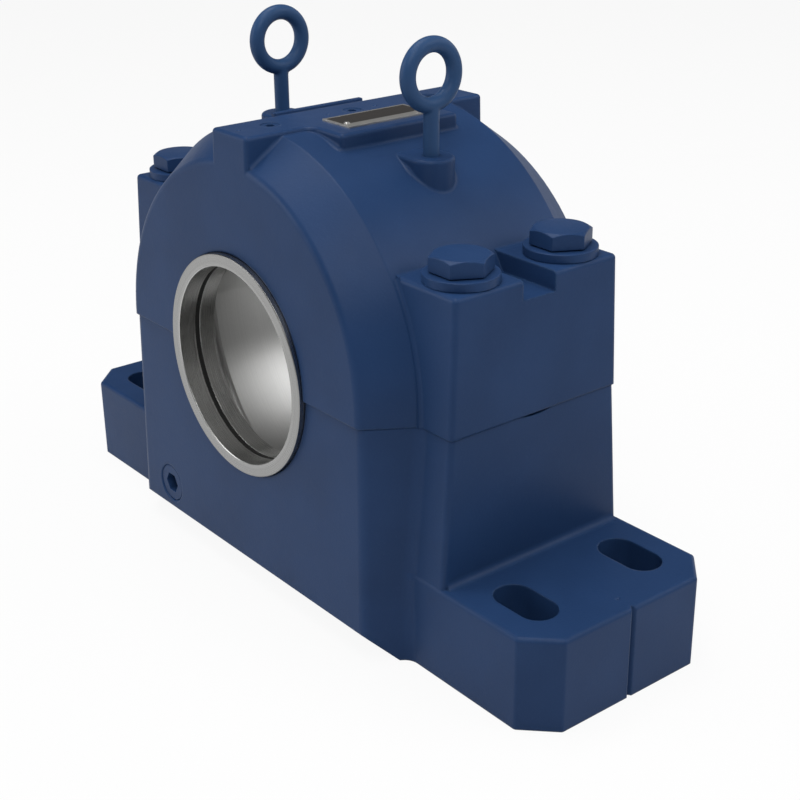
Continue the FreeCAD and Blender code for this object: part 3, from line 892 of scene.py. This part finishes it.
class PLUMMER_OT_fillets(bpy.types.Operator):
    """Adds the cast fillets where beam, ledge, bosses, rib and lugs run into the barrel"""

    bl_idname = "plummer.fillets"
    bl_label = "Cast fillets"

    def execute(self, context):
        sizes = context.scene.plummer_fillets
        shape = bmesh.new()
        self.beam(shape, sizes)
        self.rib(shape, sizes)
        for side in (1, -1):
            self.boss(shape, sizes, side)
            self.lug_top(shape, sizes, side)
            for end in (1, -1):
                self.lug_side(shape, sizes, side, end)
        paint = painted_finish("fillet_paint", context.scene.plummer_paint, 0.0)
        mesh = as_mesh("cast_fillets", shape)
        mesh.materials.append(paint)
        fixed_to_housing(new_piece("cast_fillets", mesh), "housing_paint")
        return {"FINISHED"}

    def against_wall(self, shape, places, radius, wall_top):
        """Fillet along a wall, smaller where the wall is low."""
        sections = []
        for x, y, out_x, out_y in places:
            room = max(0.0, wall_top - crown_at(x, y))
            size = min(radius, FILLET_LEAST + FILLET_SHARE * room)
            sections.append(wall_valley(x, y, out_x, out_y, size))
        swept(shape, sections)

    def beam(self, shape, sizes):
        """Fillets along the beam on the crown, and round its ledge."""
        right = [
            (BEAM_HALF, BEAM_END, 0),
            (BEAM_HALF, LEDGE_HALF, LEDGE_ROOT),
            (LEDGE_REACH, LEDGE_HALF, LEDGE_CORNER),
            (LEDGE_REACH, -LEDGE_HALF, LEDGE_CORNER),
            (BEAM_HALF, -LEDGE_HALF, LEDGE_ROOT),
            (BEAM_HALF, -BEAM_END, 0),
        ]
        left = [(-BEAM_HALF, -BEAM_END, 0), (-BEAM_HALF, BEAM_END, 0)]
        for corners in (right, left):
            self.against_wall(shape, outline_places(corners), sizes.beam, BEAM_TOP - BEAM_ROUND)

    def rib(self, shape, sizes):
        """Fillets on both sides of the thin rib."""
        steps = 30
        for side in (1, -1):
            x = RIB_X + side * RIB_HALF
            places = [(x, -RIB_LONG + 2 * RIB_LONG * step / steps, side, 0) for step in range(steps + 1)]
            self.against_wall(shape, places, sizes.rib, BEAM_TOP)

    def boss(self, shape, sizes, side):
        """Fillet along both sides of a boss and round its outer end."""
        straight_steps, round_steps = 13, 40
        wall_top = BOSS_TOP - BOSS_ROUND
        start = math.sqrt(CROWN_RADIUS ** 2 - (wall_top - SHAFT_HEIGHT) ** 2)
        places = []
        for step in range(straight_steps):
            places.append((start + (EYE_X - start) * step / straight_steps, -BOSS_RADIUS, 0, -1))
        for step in range(round_steps + 1):
            angle = math.pi * (step / round_steps - 0.5)
            x = EYE_X + BOSS_RADIUS * math.cos(angle)
            places.append((x, BOSS_RADIUS * math.sin(angle), math.cos(angle), math.sin(angle)))
        places += [(x, -y, 0, 1) for x, y, out_x, out_y in reversed(places[:straight_steps])]
        places = [(side * x, y, side * out_x, out_y) for x, y, out_x, out_y in places]
        self.against_wall(shape, places, sizes.boss, wall_top)

    def lug_top(self, shape, sizes, side):
        """Fillets between the barrel and the flat top of a lug, and in its notch."""
        half = LUG_SIDE - LUG_LEAN - BURIED
        runs = [(-half, -NOTCH_HALF, LUG_TOP), (NOTCH_HALF, half, LUG_TOP)]
        runs.append((-NOTCH_HALF, NOTCH_HALF, LUG_TOP - NOTCH_DEPTH))
        for low, high, floor in runs:
            radius = sizes.lug_top
            up = floor - SHAFT_HEIGHT
            across = math.sqrt((CROWN_RADIUS + radius) ** 2 - (up + radius) ** 2)
            lean = math.atan2(up + radius, across)
            points = arc_points((across, floor + radius), radius, -math.pi / 2, -math.pi + lean, 12)
            last = points[-1]
            points.append((last[0] - BURIED, last[1] - 0.4 * BURIED))
            points += [(last[0], floor - BURIED), (across, floor - BURIED)]
            swept(shape, [[Vector((side * x, y, z)) for x, z in points] for y in (low, high)])

    def lug_side(self, shape, sizes, side, end):
        """Fillet between the side of a lug and the barrel beside it."""
        radius = sizes.lug_side
        top = math.asin((LUG_TOP - LUG_FILLET_END - SHAFT_HEIGHT) / CROWN_RADIUS)
        sections = []
        steps = 36
        for step in range(steps + 1):
            angle = top * step / steps
            wall = LUG_SIDE - LUG_LEAN * CROWN_RADIUS * math.sin(angle) / (LUG_TOP - SHAFT_HEIGHT)
            points = arc_points((wall + radius, CROWN_RADIUS + radius), radius, math.pi, 1.5 * math.pi, 10)
            points += [(wall + radius, CROWN_RADIUS - BURIED), (wall - BURIED, CROWN_RADIUS - BURIED)]
            points.append((wall - BURIED, CROWN_RADIUS + radius))
            section = []
            for along, out in points:
                x, z = side * out * math.cos(angle), SHAFT_HEIGHT + out * math.sin(angle)
                section.append(Vector((x, end * along, z)))
            sections.append(section)
        swept(shape, sections)


class PLUMMER_OT_bolts(bpy.types.Operator):
    """Makes the four cap bolts and their washers"""

    bl_idname = "plummer.bolts"
    bl_label = "Cap bolts and washers"

    def execute(self, context):
        settings = context.scene.plummer_bolts
        paint = painted_finish("fastener_paint", context.scene.plummer_paint, PAINTED_EDGE)
        tree = four_places_tree()
        inputs = {"Spacing along X": 2 * BOLT_X, "Spacing along Y": 2 * BOLT_Y, "Turn": 0.0, "Paint": paint}
        ends = [end + "_" + side for side in ("right", "left") for end in ("front", "rear")]
        for name, mesh, stem in (
            ("cap_bolts", self.bolt(settings), "cap_bolt_"),
            ("cap_washers", self.washer(settings), "washer_"),
        ):
            nodes = [stem + end for end in ends]
            set_on_pattern(name, mesh, tree, inputs, settings.edge, "fastener_paint", nodes)
        return {"FINISHED"}

    def bolt(self, settings):
        """Hexagon head with a chamfered crown and a washer face, on a plain shank."""
        slope = settings.crown_height / (settings.flats / math.sqrt(3) - settings.crown_radius)

        def reach(angle, radius, height):
            if radius < settings.flats:
                return radius, height
            sector = math.radians(60)
            off = (angle % sector) - sector / 2
            out = settings.flats / 2 / math.cos(off)
            if height > WASHER_TOP + settings.seat_height + 0.001:
                height = BOLT_HIGH - (out - settings.crown_radius) * slope
            return out, height

        under = WASHER_TOP + settings.seat_height
        rings = [
            (settings.shank_radius - TIP_CHAMFER, BOLT_LOW),
            (settings.shank_radius, BOLT_LOW + TIP_CHAMFER),
            (settings.shank_radius, WASHER_TOP),
            (settings.seat_radius, WASHER_TOP),
            (settings.seat_radius, under),
            (settings.flats, under),
            (settings.flats, BOLT_HIGH),
            (settings.crown_radius, BOLT_HIGH),
        ]
        return as_mesh("cap_bolts", lathe(rings, BOLT_STEPS, reach))

    def washer(self, settings):
        """Thick flat washer."""
        outer, inner = settings.washer_radius, settings.washer_hole
        shape = bmesh.new()
        corners = [(inner, LUG_TOP), (outer, LUG_TOP), (outer, WASHER_TOP), (inner, WASHER_TOP)]
        loops = []
        for radius, height in corners:
            loop = []
            for step in range(WASHER_STEPS):
                angle = 2 * math.pi * step / WASHER_STEPS
                loop.append(shape.verts.new((radius * math.cos(angle), radius * math.sin(angle), height)))
            loops.append(loop)
        for first, second in zip(loops, loops[1:] + loops[:1]):
            for step in range(WASHER_STEPS):
                after = (step + 1) % WASHER_STEPS
                shape.faces.new((first[step], first[after], second[after], second[step]))
        return as_mesh("cap_washers", shape)


class PLUMMER_OT_eye_bolts(bpy.types.Operator):
    """Makes the two forged eye bolts, each ring flowing into its shank"""

    bl_idname = "plummer.eye_bolts"
    bl_label = "Eye bolts"

    def execute(self, context):
        # The eye bolts' paint is lightened all over: a painted sheen
        paint = painted_finish("eye_bolt_paint", context.scene.plummer_paint, PAINTED_EDGE, EYE_PAINTED_SHEEN)
        for side in ("right", "left"):
            self.forge("eye_bolt_" + side, paint)
        return {"FINISHED"}

    def forge(self, node, paint):
        """Eye bolt whose ring flows into its shank, from a copy of the solid's mesh."""
        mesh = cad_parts[node].data.copy()
        mesh.materials.clear()
        shape = bmesh.new()
        shape.from_mesh(mesh)
        bmesh.ops.remove_doubles(shape, verts=shape.verts, dist=0.00001)
        shape.to_mesh(mesh)
        shape.free()
        piece = new_piece("forged_" + node, mesh)
        skin = piece.modifiers.new("skin", "REMESH")
        skin.mode = "VOXEL"
        skin.voxel_size = EYE_CELL
        flow = piece.modifiers.new("flow", "SMOOTH")
        flow.factor = EYE_FLOW
        flow.iterations = EYE_PASSES
        settle(piece)
        piece.data.materials.append(paint)
        piece.data.shade_smooth()
        fixed_to_housing(piece, "fastener_paint", node)


class PLUMMER_OT_plugs(bpy.types.Operator):
    """Paints the drain plug and the three plugs in the beam"""

    bl_idname = "plummer.plugs"
    bl_label = "Plugs"

    def execute(self, context):
        paint = painted_finish("plug_paint", context.scene.plummer_paint, FINE_EDGE)
        for node in ("drain_plug", "top_plug_front", "top_plug_middle", "top_plug_rear"):
            dress(node, paint)
        return {"FINISHED"}


class PLUMMER_OT_seals(bpy.types.Operator):
    """Finishes the seal rings, their cords and the dowel pins"""

    bl_idname = "plummer.seals"
    bl_label = "Seal rings"

    def execute(self, context):
        settings = context.scene.plummer_rings
        steel = ring_finish(settings)
        rubber = cord_finish(settings)
        pin = plain_metal_finish("ground_pin", (0.55, 0.55, 0.54), 0.2)
        for end in ("front", "rear"):
            dress("seal_ring_" + end, steel)
            dress("seal_cord_" + end, rubber)
        for side in ("right", "left"):
            dress("dowel_pin_" + side, pin)
        return {"FINISHED"}


class PLUMMER_OT_nameplate(bpy.types.Operator):
    """Finishes the blank nameplate and its rivets"""

    bl_idname = "plummer.nameplate"
    bl_label = "Nameplate"

    def execute(self, context):
        dress("nameplate", plate_finish(context.scene.plummer_plate))
        rivet = plain_metal_finish("rivet_metal", (0.6, 0.59, 0.57), 0.28)
        for end in ("front", "rear"):
            dress("nameplate_rivet_" + end, rivet)
        return {"FINISHED"}


class PLUMMER_PT_panel(bpy.types.Panel):
    """Lists the pieces of the housing and their settings"""

    bl_label = "Plummer block"
    bl_idname = "PLUMMER_PT_panel"
    bl_space_type = "VIEW_3D"
    bl_region_type = "UI"
    bl_category = "Plummer block"

    def draw(self, context):
        for operator in OPERATORS:
            self.layout.operator(operator.bl_idname)
        for name in GROUPS:
            group = getattr(context.scene, name)
            box = self.layout.box()
            for prop in group.bl_rna.properties:
                if prop.identifier not in {"rna_type", "name"}:
                    box.prop(group, prop.identifier)


GROUPS = {
    "plummer_paint": PaintSettings,
    "plummer_rings": RingSettings,
    "plummer_fillets": FilletSettings,
    "plummer_bolts": BoltSettings,
    "plummer_plate": PlateSettings,
    "plummer_stage": StageSettings,
}
OPERATORS = (
    PLUMMER_OT_stage,
    PLUMMER_OT_castings,
    PLUMMER_OT_fillets,
    PLUMMER_OT_bolts,
    PLUMMER_OT_eye_bolts,
    PLUMMER_OT_plugs,
    PLUMMER_OT_seals,
    PLUMMER_OT_nameplate,
)


def register():
    for name, group in GROUPS.items():
        bpy.utils.register_class(group)
        setattr(bpy.types.Scene, name, PointerProperty(type=group))
    for kind in (*OPERATORS, PLUMMER_PT_panel):
        bpy.utils.register_class(kind)


def unregister():
    for kind in (PLUMMER_PT_panel, *reversed(OPERATORS)):
        bpy.utils.unregister_class(kind)
    for name, group in GROUPS.items():
        delattr(bpy.types.Scene, name)
        bpy.utils.unregister_class(group)


def main():
    register()
    bpy.ops.plummer.stage()
    bpy.ops.plummer.castings()
    bpy.ops.plummer.fillets()
    bpy.ops.plummer.bolts()
    bpy.ops.plummer.eye_bolts()
    bpy.ops.plummer.plugs()
    bpy.ops.plummer.seals()
    bpy.ops.plummer.nameplate()


if __name__ == "__main__":
    main()
